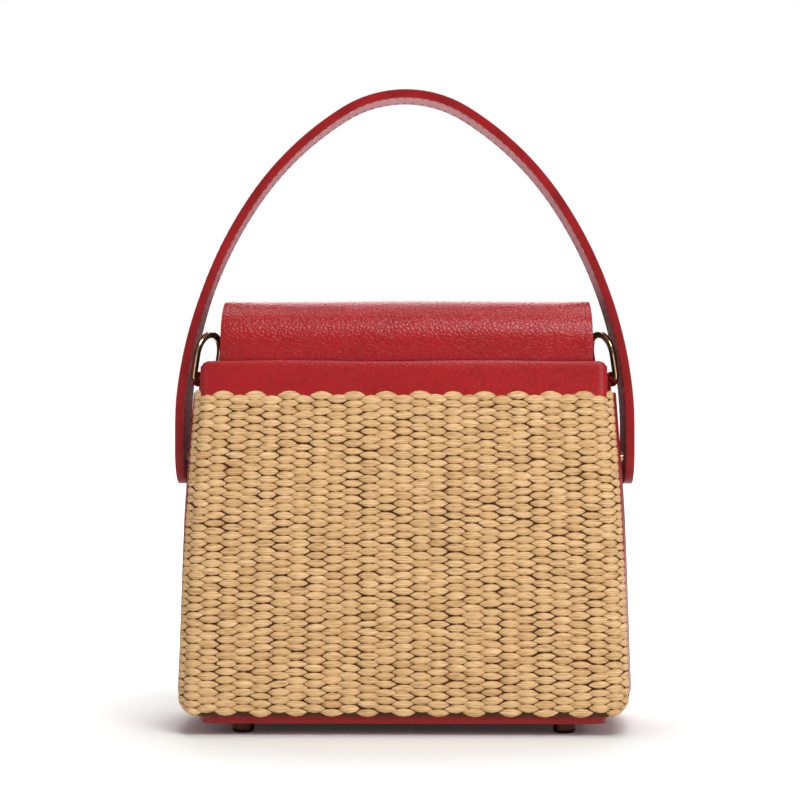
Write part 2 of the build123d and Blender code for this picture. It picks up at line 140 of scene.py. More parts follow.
class HandbagSizes(bpy.types.PropertyGroup):
    """Sizes of the bag, in metres."""
    low: size("Weave foot", "Height of the weave's lower edge", 9.0)
    middle: size("Weave middle", "Height at which the middle width is given", 78.0)
    top: size("Weave top", "Height of the weave's upper edge", 151.0)
    width_low: size("Half width low", "Half width at the weave's lower edge", 100.7)
    width_middle: size("Half width middle", "Half width at the middle height", 98.6)
    width_top: size("Half width top", "Half width at the weave's upper edge", 94.0)
    depth_low: size("Half depth low", "Half depth at the weave's lower edge", 51.8)
    depth_top: size("Half depth top", "Half depth at the weave's upper edge", 42.0)
    edge_radius: size("Edge radius", "Radius of upright edges and lower corners", 10.0)
    wrap: size("Wrap", "How far the weave reaches round onto the sides", 12.0)
    columns: IntProperty(name="Columns", description="Weave columns on the flat face", default=23)
    rows: IntProperty(name="Rows", description="Floats in one column", default=40)
    float_length: size("Float length", "Length of one raffia float", 10.5)
    float_height: size("Float height", "Height of one raffia float", 3.8)
    float_rise: size("Float rise", "How far a float's middle stands out", 1.2)
    gusset_top: size("Gusset top", "Height of the leather sides", 152.5)
    gusset_bulge: size("Gusset bulge", "How far a side bows outward", 3.0)
    band_top: size("Band top", "Height of the bands' upper edge", 166.85)
    band_half: size("Band half width", "Half width of the bands", 91.0)
    leather: size("Leather", "Thickness of bands and sides", 2.1)
    flap_half: size("Flap half width", "Half width of the flap", 83.4)
    flap_shift: size("Flap shift", "How far the flap sits to the right of the middle", 1.3)
    flap_top: size("Flap top", "Height of the flap's crest", 194.3)
    flap_tip: size("Flap tip", "Height of the flap's lower front edge", 97.0)
    flap_thickness: size("Flap thickness", "Leather and lining of the flap together", 2.6)
    flap_bend: size("Flap bend", "Outer radius of the flap's two bends", 20.0)
    flap_corner: size("Flap corner", "Radius of the flap's front corners", 14.0)
    flap_standoff: size("Flap standoff", "Gap between front wall and flap", 2.6)
    handle_top: size("Handle top", "Height of the handle's crown", 291.0)
    handle_tip: size("Handle tip", "Height of the handle's ends", 110.5)
    handle_width: size("Handle width", "Width of the strap", 30.0)
    handle_thickness: size("Handle thickness", "Both layers of the strap together", 3.8)
    crown_radius: size("Crown radius", "Radius of the handle's topmost arc", 55.0)
    crown_turn: FloatProperty(name="Crown turn", description="Angle of half the topmost arc",
                              default=math.radians(32), subtype="ANGLE", unit="ROTATION")
    shoulder_radius: size("Shoulder radius", "Radius of the arc below the crown", 142.0)
    shoulder_turn: FloatProperty(name="Shoulder turn", description="Angle of the arc below the crown",
                                 default=math.radians(23.5), subtype="ANGLE", unit="ROTATION")
    leg_radius: size("Leg radius", "Radius of the arc that runs down to the straight leg", 189.0)
    stitch: size("Stitch", "Pitch of the stitching", 3.9)
    stitch_inset: size("Stitch inset", "Distance of the stitching from an edge", 3.0)


class HandbagFinishes(bpy.types.PropertyGroup):
    """Colours of the bag, as they look in plain light, but for painted light: the strap's underside is red
    leather lightened by painted sheen, and the deep raffia is painted shade.
    """
    raffia: colour("Raffia", "Colour of the raffia floats", (222, 178, 122))
    raffia_pale: colour("Pale raffia", "Colour of the palest fibres", (250, 216, 170))
    # painted shade: the dark colour seen between the floats and at their ends and undersides
    raffia_gap_shade: colour("Deep raffia", "Colour between the floats", (128, 88, 46))
    leather: colour("Leather", "Colour of the red leather", (163, 7, 15))
    edge: colour("Edge paint", "Colour of the painted cut edges", (142, 14, 18))
    # red leather lightened to pink: painted sheen of the floor's light reflected on the strap's underside
    underside_with_painted_sheen: colour("Underside", "Colour of the strap's underside", (214, 118, 126))
    thread: colour("Thread", "Colour of the stitching", (120, 16, 22))
    fabric: colour("Lining", "Colour of the lining", (186, 158, 124))
    metal: colour("Metal", "Colour of rings, rivets and feet", (226, 200, 160))


def sizes():
    """The bag's sizes as they are set now."""
    return bpy.context.scene.handbag_sizes


def finishes():
    """The bag's colours as they are set now."""
    return bpy.context.scene.handbag_finishes


def linear(rgb, shade=1.0):
    """A display colour as the scene-linear RGBA that a shader takes."""
    values = [c / 12.92 if c <= 0.04045 else ((c + 0.055) / 1.055) ** 2.4 for c in rgb]
    return (*[min(v * shade, 1.0) for v in values], 1.0)


# Materials


class Nodes:
    """A new material with a Principled shader and short ways to add nodes to it."""

    def __init__(self, name):
        self.material = bpy.data.materials.new(name)
        self.material.use_nodes = True
        self.tree = self.material.node_tree
        self.shader = self.tree.nodes["Principled BSDF"]
        self.output = self.tree.nodes["Material Output"]

    def add(self, kind, inputs=None, **settings):
        node = self.tree.nodes.new(kind)
        for key, value in settings.items():
            setattr(node, key, value)
        for key, value in (inputs or {}).items():
            if isinstance(value, bpy.types.NodeSocket):
                self.tree.links.new(value, node.inputs[key])
            else:
                node.inputs[key].default_value = value
        return node

    def link(self, socket, key):
        self.tree.links.new(socket, self.shader.inputs[key])

    def set(self, **values):
        for key, value in values.items():
            self.shader.inputs[key.replace("_", " ")].default_value = value

    def ramp(self, factor, stops):
        node = self.add("ShaderNodeValToRGB", {"Fac": factor})
        elements = node.color_ramp.elements
        elements[0].position, elements[0].color = stops[0]
        elements[1].position, elements[1].color = stops[-1]
        for position, value in stops[1:-1]:
            elements.new(position).color = value
        return node.outputs["Color"]

    def multiply(self, a, b):
        node = self.add("ShaderNodeMix", data_type="RGBA", blend_type="MULTIPLY")
        node.inputs["Factor"].default_value = 1.0
        self.tree.links.new(a, node.inputs["A"])
        self.tree.links.new(b, node.inputs["B"])
        return node.outputs["Result"]

    def bump(self, height, distance, strength=1.0, normal=None):
        node = self.add("ShaderNodeBump", {"Height": height, "Distance": distance, "Strength": strength})
        if normal is not None:
            self.tree.links.new(normal, node.inputs["Normal"])
        return node.outputs["Normal"]


def pebbled_leather(name, rgb, grain=1.9, depth=0.1, roughness=0.3, specular=0.4):
    """Leather with rounded pebbles about grain millimetres across and fine creases."""
    m = Nodes(name)
    place = m.add("ShaderNodeTexCoord").outputs["Object"]
    drift = m.add("ShaderNodeTexNoise", {"Vector": place, "Scale": 260.0, "Detail": 2.0})
    mixed = m.add("ShaderNodeMix", data_type="RGBA", blend_type="LINEAR_LIGHT")
    mixed.inputs["Factor"].default_value = 0.0006
    m.tree.links.new(place, mixed.inputs["A"])
    m.tree.links.new(drift.outputs["Color"], mixed.inputs["B"])
    cells = m.add("ShaderNodeTexVoronoi", {"Vector": mixed.outputs["Result"], "Scale": 1000 / grain},
                  feature="DISTANCE_TO_EDGE")
    pebbles = m.ramp(cells.outputs["Distance"], [
        (0.0, (0, 0, 0, 1)), (0.07, (0.5, 0.5, 0.5, 1)), (0.3, (1, 1, 1, 1))])
    broad = m.add("ShaderNodeTexNoise", {"Vector": place, "Scale": 55.0, "Detail": 3.0}).outputs["Fac"]
    fine = m.add("ShaderNodeTexNoise", {"Vector": place, "Scale": 2600.0, "Detail": 2.0}).outputs["Fac"]
    tint = m.ramp(broad, [(0.3, linear(rgb, 0.92)), (0.7, linear(rgb, 1.06))])
    # painted shade: the creases between the pebbles are darkened in the base colour
    shade = m.ramp(cells.outputs["Distance"], [(0.0, (0.74, 0.74, 0.74, 1)), (0.14, (1, 1, 1, 1))])
    m.link(m.multiply(tint, shade), "Base Color")
    normal = m.bump(broad, 1.2 * MM, 0.25)
    normal = m.bump(pebbles, depth * MM, 1.0, normal)
    m.link(m.bump(fine, 0.02 * MM, 0.5, normal), "Normal")
    m.set(Roughness=roughness, Specular_IOR_Level=specular)
    return m.material


def painted_edge(name, rgb):
    """The smooth lacquered cut edge of two leather layers."""
    m = Nodes(name)
    place = m.add("ShaderNodeTexCoord").outputs["Object"]
    streaks = m.add("ShaderNodeTexNoise", {"Vector": place, "Scale": 90.0, "Detail": 4.0}).outputs["Fac"]
    m.link(m.ramp(streaks, [(0.3, linear(rgb, 0.8)), (0.7, linear(rgb, 1.2))]), "Base Color")
    m.link(m.bump(streaks, 0.15 * MM, 0.5), "Normal")
    m.set(Roughness=0.36, Specular_IOR_Level=0.3)
    return m.material


def raffia_fibre(name):
    """Split palm fibre: fine creases along each float, pale and dark strands, a soft gloss, and painted
    shade where the weave's tone is low.
    """
    f = finishes()
    m = Nodes(name)
    along = m.add("ShaderNodeUVMap", uv_map="weave").outputs["UV"]
    stretch = m.add("ShaderNodeMapping", {"Vector": along, "Scale": (120.0, 2300.0, 1.0)}).outputs["Vector"]
    strands = m.add("ShaderNodeTexNoise", {"Vector": stretch, "Scale": 1.0, "Detail": 6.0,
                                           "Roughness": 0.68}).outputs["Fac"]
    tone_and_shade = m.add("ShaderNodeAttribute", attribute_name="tone_and_shade").outputs["Fac"]
    wide = m.add("ShaderNodeTexNoise", {"Vector": along, "Scale": 38.0, "Detail": 2.0}).outputs["Fac"]
    fibres = m.ramp(strands, [
        (0.34, linear(f.raffia, 0.36)), (0.46, linear(f.raffia)), (0.64, linear(f.raffia_pale))])
    # painted shade: a low tone darkens the raffia towards the deep colour, on the backing and at the
    # floats' ends and undersides
    depth = m.ramp(tone_and_shade, [(0.0, linear(f.raffia_gap_shade, 0.5)), (0.35, linear(f.raffia_gap_shade, 1.7)),
                          (0.6, (0.88, 0.83, 0.76, 1)), (1.0, (1, 1, 1, 1))])
    patches = m.ramp(wide, [(0.3, (0.86, 0.84, 0.8, 1)), (0.7, (1, 1, 1, 1))])
    m.link(m.multiply(m.multiply(fibres, depth), patches), "Base Color")
    m.link(m.bump(strands, 0.36 * MM, 1.0), "Normal")
    m.set(Roughness=0.55, Specular_IOR_Level=0.35)
    return m.material


def woven_lining(name):
    """Plain-woven cloth."""
    m = Nodes(name)
    place = m.add("ShaderNodeTexCoord").outputs["Object"]
    warp = m.add("ShaderNodeTexWave", {"Vector": place, "Scale": 900.0}, bands_direction="X").outputs["Fac"]
    weft = m.add("ShaderNodeTexWave", {"Vector": place, "Scale": 900.0}, bands_direction="Z").outputs["Fac"]
    cross = m.multiply(warp, weft)
    rgb = finishes().fabric
    m.link(m.ramp(cross, [(0.0, linear(rgb, 0.75)), (1.0, linear(rgb, 1.1))]), "Base Color")
    m.link(m.bump(cross, 0.08 * MM, 0.6), "Normal")
    m.set(Roughness=0.85)
    return m.material


def polished_metal(name, rgb, roughness):
    """Metal with faint cloudy wear."""
    m = Nodes(name)
    place = m.add("ShaderNodeTexCoord").outputs["Object"]
    wear = m.add("ShaderNodeTexNoise", {"Vector": place, "Scale": 400.0, "Detail": 3.0}).outputs["Fac"]
    m.link(m.ramp(wear, [(0.3, linear(rgb, 0.85)), (0.7, linear(rgb))]), "Base Color")
    m.link(m.bump(wear, 0.01 * MM, 0.4), "Normal")
    m.set(Metallic=1.0, Roughness=roughness)
    return m.material


def plain_thread(name, rgb):
    """Sewing thread, mottled by its twist."""
    m = Nodes(name)
    place = m.add("ShaderNodeTexCoord").outputs["Object"]
    twist = m.add("ShaderNodeTexNoise", {"Vector": place, "Scale": 3000.0}).outputs["Fac"]
    m.link(m.ramp(twist, [(0.3, linear(rgb, 0.6)), (0.7, linear(rgb, 1.3))]), "Base Color")
    m.set(Roughness=0.6)
    return m.material


_made = {}


def finish(name):
    """One of the bag's materials, made on first use."""
    f = finishes()
    makers = {
        "red_leather": lambda: pebbled_leather("red_leather", f.leather),
        "smooth_leather": lambda: pebbled_leather("smooth_leather", f.leather, 1.0, 0.05, 0.4),
        "band_leather": lambda: pebbled_leather("band_leather", f.leather, 2.1, 0.06, 0.36),
        # painted sheen: the underside's pale pink stands in for light reflected from the floor
        "strap_underside": lambda: pebbled_leather("strap_underside", f.underside_with_painted_sheen, 1.5, 0.2, 0.38, 0.5),
        "edge_paint": lambda: painted_edge("edge_paint", f.edge),
        "raffia": lambda: raffia_fibre("raffia"),
        "lining": lambda: woven_lining("lining"),
        "gold": lambda: polished_metal("gold", f.metal, 0.16),
        # painted shade: the feet's metal colour is darkened to the shade under the bag
        "shade_darkened_metal": lambda: polished_metal("shade_darkened_metal", (0.3, 0.2, 0.16), 0.3),
        "satin_metal": lambda: polished_metal("satin_metal", (0.78, 0.75, 0.7), 0.35),
        "thread": lambda: plain_thread("thread", f.thread),
        "board": lambda: painted_edge("board", (0.36, 0.3, 0.25)),
    }
    if name not in _made:
        _made[name] = makers[name]()
    return _made[name]


# Modelling helpers


def choose(piece):
    """Make piece the only selected object and the active one."""
    bpy.ops.object.select_all(action="DESELECT")
    piece.select_set(True)
    bpy.context.view_layer.objects.active = piece
    return piece


def whole(action):
    """Run one edit-mode operator on the whole active mesh."""
    bpy.ops.object.mode_set(mode="EDIT")
    bpy.ops.mesh.select_all(action="SELECT")
    action()
    bpy.ops.object.mode_set(mode="OBJECT")


def grid_piece(name, across, along, place, materials):
    """A grid primitive whose points are carried to place(u, v), both from 0 to 1."""
    bpy.ops.object.select_all(action="DESELECT")
    bpy.ops.mesh.primitive_grid_add(x_subdivisions=across, y_subdivisions=along, size=2)
    piece = bpy.context.object
    piece.name = piece.data.name = name
    for vertex in piece.data.vertices:
        vertex.co = place((vertex.co.x + 1) / 2, (vertex.co.y + 1) / 2)
    for material in materials:
        piece.data.materials.append(finish(material))
    return piece


def thicken(piece, thickness, inner=0, rim=0, round_edges=0.6, segments=3):
    """Give a surface its wall below it, with rounded edges, and apply both modifiers."""
    choose(piece)
    wall = piece.modifiers.new("wall", "SOLIDIFY")
    wall.thickness, wall.offset, wall.use_even_offset = thickness, -1, True
    wall.material_offset, wall.material_offset_rim = inner, rim
    bpy.ops.object.modifier_apply(modifier="wall")
    soft = piece.modifiers.new("soft", "BEVEL")
    soft.width, soft.segments, soft.limit_method = round_edges * MM, segments, "ANGLE"
    soft.angle_limit = ROUNDED_FROM
    bpy.ops.object.modifier_apply(modifier="soft")
    bpy.ops.object.shade_smooth_by_angle(angle=SMOOTH_UP_TO)
    return piece


def face_outward(piece, outward):
    """Flip the surface if its faces, taken together, look against outward(centre)."""
    choose(piece)
    agreement = sum((p.normal.dot(outward(p.center)) for p in piece.data.polygons), 0.0)
    if agreement < 0:
        whole(bpy.ops.mesh.flip_normals)


def mesh_piece(name, vertices, polygons, material):
    """A new object with one material from points and faces; it is left chosen."""
    mesh = bpy.data.meshes.new(name)
    mesh.from_pydata(vertices, [], polygons)
    piece = bpy.data.objects.new(name, mesh)
    bpy.context.collection.objects.link(piece)
    mesh.materials.append(finish(material))
    return choose(piece)


def round_off():
    """Point the active mesh's faces outward and shade it smooth."""
    whole(lambda: bpy.ops.mesh.normals_make_consistent(inside=False))
    bpy.ops.object.shade_smooth()


def join(name, pieces):
    """Join the pieces into one object called name."""
    choose(pieces[0])
    for piece in pieces[1:]:
        piece.select_set(True)
    if len(pieces) > 1:
        bpy.ops.object.join()
    pieces[0].name = pieces[0].data.name = name
    return pieces[0]


def stitch_row(name, points, normals, pitch):
    """Stitches along a line: one shaped stitch, copied with its own turn and place."""
    bpy.ops.object.select_all(action="DESELECT")
    bpy.ops.mesh.primitive_uv_sphere_add(segments=8, ring_count=5, radius=1)
    model = bpy.context.object
    bpy.ops.transform.resize(value=(pitch * STITCH_HALF_LENGTH, STITCH_HALF_WIDTH, STITCH_HALF_HEIGHT))
    bpy.ops.object.transform_apply(location=False, rotation=False, scale=True)
    shape = np.array([v.co[:] for v in model.data.vertices])
    faces = [list(p.vertices) for p in model.data.polygons]
    bpy.data.objects.remove(model)
    vertices, polygons = [], []
    for a, b, normal in zip(points, points[1:], normals):
        middle, along = (a + b) / 2, (b - a).normalized()
        side = normal.cross(along).normalized()
        basis = np.array([along[:], side[:], along.cross(side)[:]])
        start = len(vertices)
        vertices.extend(shape @ basis + np.array(middle[:]))
        polygons.extend([[i + start for i in face] for face in faces])
    row = mesh_piece(name, [tuple(v) for v in vertices], polygons, "thread")
    round_off()
    return row


def evenly(curve, pitch, samples=600):
    """Points a pitch apart along curve(t), t from 0 to 1, and their parameters."""
    t = np.linspace(0, 1, samples)
    line = np.array([curve(x)[:] for x in t])
    reach = np.concatenate([[0], np.cumsum(np.linalg.norm(np.diff(line, axis=0), axis=1))])
    count = max(int(reach[-1] / pitch), 2)
    at = np.interp(np.linspace(0, reach[-1], count + 1), reach, t)
    return [Vector(curve(x)) for x in at], at


# The body's form


def half_width(z):
    """Half width at height z: a smooth curve through the three given widths."""
    s = sizes()
    a, b, c = s.low, s.middle, s.top
    return (s.width_low * (z - b) * (z - c) / ((a - b) * (a - c))
            + s.width_middle * (z - a) * (z - c) / ((b - a) * (b - c))
            + s.width_top * (z - a) * (z - b) / ((c - a) * (c - b)))


def half_depth(z):
    """Half depth at height z, on the straight slope from the foot to the top."""
    s = sizes()
    return s.depth_low + (s.depth_top - s.depth_low) * (z - s.low) / (s.top - s.low)


def weave_surface(column, z, rise, side):
    """Points on the woven wall: column counts from the middle, rise stands out of the wall."""
    s = sizes()
    r = s.edge_radius
    width = half_width(z)
    corner = s.width_low - r
    drop = np.clip(s.low + r - z, 0, r)
    limit = np.where(drop > 0, corner + np.sqrt(r * r - drop * drop), width)
    half = s.columns / 2
    flat = np.minimum(np.abs(column), half) / half * (width - r)
    pitch = 2 * (s.width_middle - r) / s.columns
    beyond = np.maximum(np.abs(column) - half, 0) * pitch
    angle = np.minimum(beyond / r, math.pi / 2)
    onward = np.maximum(beyond - r * math.pi / 2, 0)
    reach = flat + (r + CORNER_RISE * rise - CORNER_TUCK) * np.sin(angle)
    x = np.sign(column) * np.minimum(reach, limit + RIM_RISE * rise)
    y = half_depth(z) - r + (r + rise) * np.cos(angle) - onward
    return np.stack([x, side * y, z], axis=-1)


def woven_panel(name, side, seed):
    """A backing wall with every float of the weave lying in it."""
    s = sizes()
    random = np.random.default_rng(seed)
    column_width = 2 * (s.width_middle - s.edge_radius) / s.columns
    wrapped = s.edge_radius * math.pi / 2 + s.wrap - s.edge_radius
    reach = s.columns / 2 + wrapped / column_width

    def wall(u, v):
        column, z = np.float64((2 * u - 1) * reach), s.low + v * (s.top - s.low)
        return Vector(weave_surface(column, z, -BACKING_SUNK, side))

    # Once joined with the floats, the backing's tone is 0 and it takes the darkest raffia colour: a dark
    # sheet of painted shade seen between the floats
    back = grid_piece(name + "_back", 72, 24, wall, ["raffia"])
    face_outward(back, lambda c: Vector((0, side, 0)))
    thicken(back, BACKING_THICKNESS, round_edges=0.3, segments=1)
    back.data.uv_layers[0].name = "weave"

    bpy.ops.object.select_all(action="DESELECT")
    bpy.ops.mesh.primitive_uv_sphere_add(segments=10, ring_count=6, radius=1, rotation=(0, math.pi / 2, 0))
    model = bpy.context.object
    bpy.ops.object.transform_apply(location=False, rotation=True, scale=False)
    shape = np.array([v.co[:] for v in model.data.vertices])
    faces = [list(p.vertices) for p in model.data.polygons]
    bpy.data.objects.remove(model)
    # a runs along the float, b across it and c out of the wall, each from -1 to 1
    a = shape[:, 0]
    ring = np.maximum(np.hypot(shape[:, 1], shape[:, 2]), 1e-6)
    lens = np.where(np.abs(a) > 0.999, 0, 1 - np.abs(a) ** FLOAT_ROUNDNESS)
    b, c = shape[:, 1] / ring * lens, shape[:, 2] / ring * lens

    pitch_z = (s.top - s.low) / s.rows
    last = int(reach)
    points, tones_and_shade, maps = [], [], []
    for j in range(-last, last + 1):
        sway = COLUMN_SWAY * math.sin(j * GOLDEN_ANGLE)
        for k in range(-1, s.rows + 1):
            z0 = s.low + (k + 0.5 + 0.5 * (j % 2)) * pitch_z
            hem = k < 0 or z0 > s.top - HEM_ROW * pitch_z
            if z0 < s.low + LOWEST_FLOAT * pitch_z or z0 > s.top + HIGHEST_FLOAT * pitch_z:
                continue
            z0 += random.normal(0, SPREAD_HEIGHT)
            long = s.float_length / 2 * (1 + random.normal(0, SPREAD_LENGTH))
            tall = s.float_height / 2 * (1 + random.normal(0, SPREAD_WIDTH))
            lift = s.float_rise * (1 + random.normal(0, SPREAD_LIFT))
            if hem:
                long, tall, lift = long * HEM_LENGTHENED, tall * HEM_WIDENED, lift + HEM_LIFT
            slant = random.normal(0, SPREAD_SLANT)
            column = j + sway + random.normal(0, SPREAD_COLUMN) + a * long / column_width
            z = z0 + b * tall + a * long * slant
            rise = lift + FLOAT_THICKNESS * (c - 1) - FLOAT_BOW * a * a
            points.append(weave_surface(column, z, rise, side))
            base = TONE + random.normal(0, TONE_SPREAD)
            # painted shade: each float darker towards its ends and on its underside, on top of its random
            # tone
            tones_and_shade.append(np.clip(base - END_PAINTED_SHADE * np.abs(a) ** 6 - UNDER_PAINTED_SHADE * (c < 0), 0.05, 1.0))
            offset = random.random(2)
            maps.append(np.stack([column * column_width + offset[0], z + offset[1]], axis=-1))
    polygons = [[i + n * len(shape) for i in face] for n in range(len(points)) for face in faces]
    points, maps = np.concatenate(points), np.concatenate(maps)
    floats = mesh_piece(name + "_floats", points.tolist(), polygons, "raffia")
    mesh = floats.data
    # this attribute holds each float's random tone together with its painted shade
    tone_and_shade = mesh.attributes.new("tone_and_shade", "FLOAT", "POINT")
    tone_and_shade.data.foreach_set("value", np.concatenate(tones_and_shade).astype(np.float32))
    loops = np.empty(len(mesh.loops), dtype=np.int32)
    mesh.loops.foreach_get("vertex_index", loops)
    layer = mesh.uv_layers.new(name="weave")
    layer.data.foreach_set("uv", maps[loops].astype(np.float32).ravel())
    round_off()
    return join(name, [floats, back])


def gusset_piece(name, side):
    """A leather side, bowed outward and turned under the lower corner."""
    s = sizes()
    r = s.edge_radius

    def place(u, v):
        if v < SIDE_TURN:
            angle = (1 - v / SIDE_TURN) * math.pi / 2
            z = s.low + r - r * math.sin(angle)
            x = s.width_low - r + r * math.cos(angle) + (half_width(s.low + r) - s.width_low)
        else:
            z = s.low + r + (v - SIDE_TURN) / (1 - SIDE_TURN) * (s.gusset_top - s.low - r)
            x = half_width(z)
        half = half_depth(z) - s.wrap + SIDE_TUCK
        y = (2 * u - 1) * half
        bow = s.gusset_bulge * (1 - (2 * u - 1) ** 2) * min(v / SIDE_TURN, 1)
        dent = LEATHER_DENT * math.sin(9 * v + 2) * math.sin(5 * u + 1)
        return Vector((side * (x + bow + dent), y, z))

    piece = grid_piece(name, 20, 48, place, ["red_leather", "edge_paint"])
    face_outward(piece, lambda c: Vector((side, 0, 0)))
    return thicken(piece, s.leather, rim=1)


def band_piece(name, side):
    """The leather band above the weave, its ends turned back and its top edge softly folded."""
    s = sizes()
    r = BAND_FOLD
    start = s.top - BAND_OVERLAP

    def place(u, v):
        t = 2 * u - 1
        along = abs(t) * (s.band_half - r + r * math.pi / 2 + BAND_TURNED_BACK - r)
        near_end = min(max((along - s.band_half + BAND_END_RUN) / BAND_END_RUN, 0), 1)
        drop = BAND_END_DROP * (1 - math.sqrt(1 - near_end ** 2))
        z = start + v * (s.band_top - drop - start)
        flat = min(along, s.band_half - r)
        angle = min(max(along - flat, 0) / r, math.pi / 2)
        onward = max(along - flat - r * math.pi / 2, 0)
        depth = half_depth(z) - r + r * math.cos(angle) - onward
        depth += LEATHER_DENT * math.sin(along * 60 + v * 2) * v
        depth -= BAND_LIP * max(0, v - BAND_LIP_FROM) / (1 - BAND_LIP_FROM)
        lift = LEATHER_DENT * math.sin(t * 7 + side) * v
        return Vector((math.copysign(flat + r * math.sin(angle), t), side * depth, z + lift))

    piece = grid_piece(name, 120, 12, place, ["band_leather", "smooth_leather"])
    face_outward(piece, lambda c: Vector((0, side, 0)))
    return thicken(piece, s.leather, rim=1, round_edges=0.75)


# The flap


def flap_hinge():
    """The place of the frame's hinge between bag and flap."""
    joint = next(j for j in frame["joints"] if j["name"] == "flap_open")
    return Vector(joint["pos_m"])


def flap_line(t, depth=0.0):
    """The flap's side view at t, from 0 at the hinge to 1 at the front edge.

    Gives the point depth below the outer face, the face's normal, the way along and the whole way.
    """
    s = sizes()
    hinge = flap_hinge()
    r = s.flap_bend
    rear = hinge.y - s.flap_thickness / 2
    reach = s.flap_standoff + s.flap_thickness
    slope = (s.depth_low - s.depth_top) / (s.top - s.low)
    lean = math.atan(slope)
    corner_y = half_depth(s.flap_top) + reach
    cut = r * math.tan((math.pi / 2 - lean) / 2)
    foot = hinge.z - FLAP_FOOT_DROP
    rise = s.flap_top - r - foot
    crest = corner_y - cut - (rear + r)
    tip_y = half_depth(s.flap_tip) + reach
    drop = math.hypot(tip_y - corner_y, s.flap_top - s.flap_tip) - cut
    bend_rear, bend_front = r * math.pi / 2, r * (math.pi / 2 - lean)
    total = rise + bend_rear + crest + bend_front + drop
    along = t * total
    if along < rise:
        point, normal = (rear, foot + along), (-1, 0)
    elif along < rise + bend_rear:
        a = (along - rise) / r
        normal = (-math.cos(a), math.sin(a))
        point = (rear + r + r * normal[0], s.flap_top - r + r * normal[1])
    elif along < rise + bend_rear + crest:
        point, normal = (rear + r + along - rise - bend_rear, s.flap_top), (0, 1)
    elif along < rise + bend_rear + crest + bend_front:
        a = (along - rise - bend_rear - crest) / r
        normal = (math.sin(a), math.cos(a))
        point = (corner_y - cut + r * normal[0], s.flap_top - r + r * normal[1])
    else:
        rest = along - rise - bend_rear - crest - bend_front
        normal = (math.cos(lean), math.sin(lean))
        start = (corner_y - cut + r * normal[0], s.flap_top - r + r * normal[1])
        point = (start[0] + rest * math.sin(lean), start[1] - rest * math.cos(lean))
    return (Vector((0, point[0] - depth * normal[0], point[1] - depth * normal[1])),
            Vector((0, normal[0], normal[1])), along, total)


def flap_width(t):
    """Half width of the flap along its length: drawn in over the crest, rounded at the tip."""
    s = sizes()
    _, _, along, total = flap_line(t)
    half = s.flap_half - FLAP_WAIST * math.exp(-((along - FLAP_WAIST_PLACE) / FLAP_WAIST_SPREAD) ** 2)
    left = total - along
    if left < s.flap_corner:
        r = s.flap_corner
        half -= r - math.sqrt(max(r * r - (r - left) ** 2, 0))
    return half


def flap_point(across, t, depth=0.0):
    """A point on the flap; across runs from -1 to 1."""
    point, normal, along, total = flap_line(t, depth)
    x = across * flap_width(t) + sizes().flap_shift
    wave = FLAP_WAVE * math.sin(across * 4.1 + along * 35) * math.sin(math.pi * min(along / total, 1))
    curl = -FLAP_CURL * abs(across) ** 12
    return Vector((x, point.y, point.z)) + normal * (wave + curl)


def flap_piece():
    """The flap's leather with its lining below, and the stitching round its free edges."""
    s = sizes()

    def place(u, v):
        if v >= FLAP_TIP_FROM:
            tip = 1 - FLAP_TIP_FROM
            v = FLAP_TIP_FROM + tip * math.sin((v - FLAP_TIP_FROM) / tip * math.pi / 2)
        return flap_point(2 * u - 1, v)

    leather = grid_piece("flap_leather", 64, 150, place, ["red_leather", "lining", "edge_paint"])
    face_outward(leather, lambda c: Vector((0, 0, 1)) if c.z > s.flap_top - 4 * MM else Vector())
    thicken(leather, s.flap_thickness, inner=1, rim=2, round_edges=0.7)

    rows = []
    for side in (-1, 1):
        def line(t, side=side):
            t = FLAP_SEAM_START + FLAP_SEAM_RUN * t
            inset = 1 - s.stitch_inset / flap_width(t)
            return flap_point(side * inset, t, FLAP_THREAD_DEPTH)

        points, at = evenly(line, s.stitch)
        normals = [flap_line(FLAP_SEAM_START + FLAP_SEAM_RUN * t)[1] for t in at]
        rows.append(stitch_row("flap_side_stitches", points, normals, s.stitch))
    tip_t = 1 - s.stitch_inset / flap_line(1)[3]

    def tip_line(t):
        return flap_point((2 * t - 1) * FLAP_TIP_SEAM, tip_t, FLAP_THREAD_DEPTH)

    points, _ = evenly(tip_line, s.stitch)
    rows.append(stitch_row("flap_tip_stitches", points, [flap_line(1)[1]] * len(points), s.stitch))
    return leather, join("flap_stitches", rows)


# The handle


def arch_line(t, depth=0.0):
    """The strap's front view at t, from its left tip at 0 to its right tip at 1.

    Gives the point depth below the outer face, the face's normal and half the strap's length.
    """
    s = sizes()
    radii = [s.crown_radius, s.shoulder_radius, s.leg_radius]
    turns = [s.crown_turn, s.shoulder_turn, math.pi / 2 - s.crown_turn - s.shoulder_turn]
    lengths = [r * a for r, a in zip(radii, turns)]
    x, z, angle = 0.0, s.handle_top, 0.0
    ends = []
    for r, a in zip(radii, turns):
        cx, cz = x - r * math.sin(angle), z - r * math.cos(angle)
        ends.append((cx, cz, r, angle))
        angle += a
        x, z = cx + r * math.sin(angle), cz + r * math.cos(angle)
    leg = z - s.handle_tip
    half = sum(lengths) + leg
    along = abs(2 * t - 1) * half
    side = 1 if t >= 0.5 else -1
    if along > sum(lengths):
        point, turn = (x, z - (along - sum(lengths))), math.pi / 2
    else:
        for (cx, cz, r, start), length in zip(ends, lengths):
            if along <= length:
                turn = start + along / r
                point = (cx + r * math.sin(turn), cz + r * math.cos(turn))
                break
            along -= length
    normal = Vector((side * math.sin(turn), 0, math.cos(turn)))
    return Vector((side * point[0], 0, point[1])) - normal * depth, normal, half


